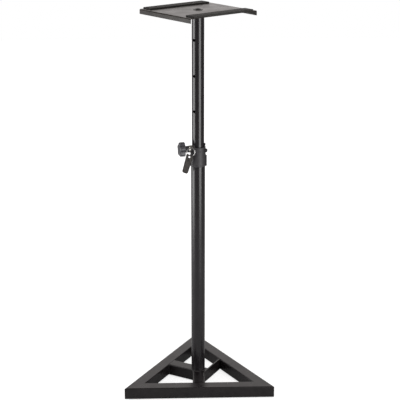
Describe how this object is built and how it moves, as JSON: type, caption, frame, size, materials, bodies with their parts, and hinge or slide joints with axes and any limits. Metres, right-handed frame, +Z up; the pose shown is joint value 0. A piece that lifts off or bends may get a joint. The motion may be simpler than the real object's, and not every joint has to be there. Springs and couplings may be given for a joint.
{
  "type": "loudspeaker stand",
  "caption": "Telescopic floor stand for a studio loudspeaker: triangular tube base, pole with clamp knob and locking pin, square top plate with cushion strips.",
  "frame": {"origin": "on the pole's axis at floor level, under the rubber feet", "axes": "+Z up along the pole; X along the front rail; -Y towards the front rail"},
  "size_m": [0.442, 0.4163, 1.1356],
  "materials": {
    "black_steel": "satin black powder coat",
    "black_tube": "semi-gloss black powder coat",
    "plate_steel": "satin black powder coat",
    "foot_rubber": "matt",
    "bright_steel": "zinc plated",
    "dark_steel": "black zinc",
    "chrome": "polished",
    "bush_plastic": "plain moulded",
    "collar_plastic": "fine textured",
    "knob_plastic": "satin moulded",
    "strap": "matt",
    "strip_foam": "closed-cell foam"
  },
  "bodies": {
    "stand_base": {"front_rail": "black_steel", "left_rail": "black_steel", "right_rail": "black_steel", "left_strut": "black_steel", "front_strut": "black_steel", "right_brace": "black_steel", "lower_tube": "black_tube", "rubber_feet": "foot_rubber", "foot_plug": "bright_steel", "base_bolt": "bright_steel", "base_washer": "bright_steel", "guide_bush": "bush_plastic", "clamp_collar": "collar_plastic", "bush_screw": "dark_steel", "collar_screw": "dark_steel", "thread_insert": "chrome"},
    "mast": {"upper_tube": "black_tube", "top_plug": "bright_steel", "mast_glide": "bush_plastic", "top_plate": "plate_steel", "front_strip": "strip_foam", "back_strip": "strip_foam", "plate_washer": "dark_steel", "plate_bolt": "dark_steel"},
    "pressure_pad": {"pressure_pad": "bush_plastic"},
    "clamp_knob": {"clamp_knob": "knob_plastic", "clamp_screw": "bright_steel"},
    "locking_pin": {"locking_pin": "chrome"},
    "pull_ring": {"pull_ring": "chrome"},
    "pull_tab": {"pull_tab": "strap", "tab_rivet": "dark_steel"}
  },
  "joints": [
    {"name": "mast_slide", "type": "slide", "parent": "stand_base", "child": "mast", "axis": [0, 0, 1], "range_m": [-0.3048, 0.2032]},
    {"name": "pad_travel", "type": "slide", "parent": "stand_base", "child": "pressure_pad", "axis": [-0.9781, -0.2079, 0], "range_m": [0, 0.0025]},
    {"name": "knob_turn", "type": "hinge", "parent": "pressure_pad", "child": "clamp_knob", "pos_m": [-0.04402, -0.00936, 0.734], "axis": [-0.9781, -0.2079, 0], "range_deg": [0, 720]},
    {"name": "pin_push", "type": "slide", "parent": "stand_base", "child": "locking_pin", "axis": [0.6691, 0.7431, 0], "range_m": [0, 0.003]},
    {"name": "ring_swing", "type": "hinge", "parent": "locking_pin", "child": "pull_ring", "pos_m": [-0.02128, -0.02363, 0.7423], "axis": [-0.9511, 0.309, 0], "range_deg": [0, 6]},
    {"name": "tab_swing", "type": "hinge", "parent": "pull_ring", "child": "pull_tab", "pos_m": [-0.02128, -0.02363, 0.7301], "axis": [-0.309, -0.9511, 0], "range_deg": [0, 6]}
  ],
  "couplings": [
    {"joint": "pad_travel", "follows": "knob_turn", "m_per_rad": 0.00019894}
  ]
}
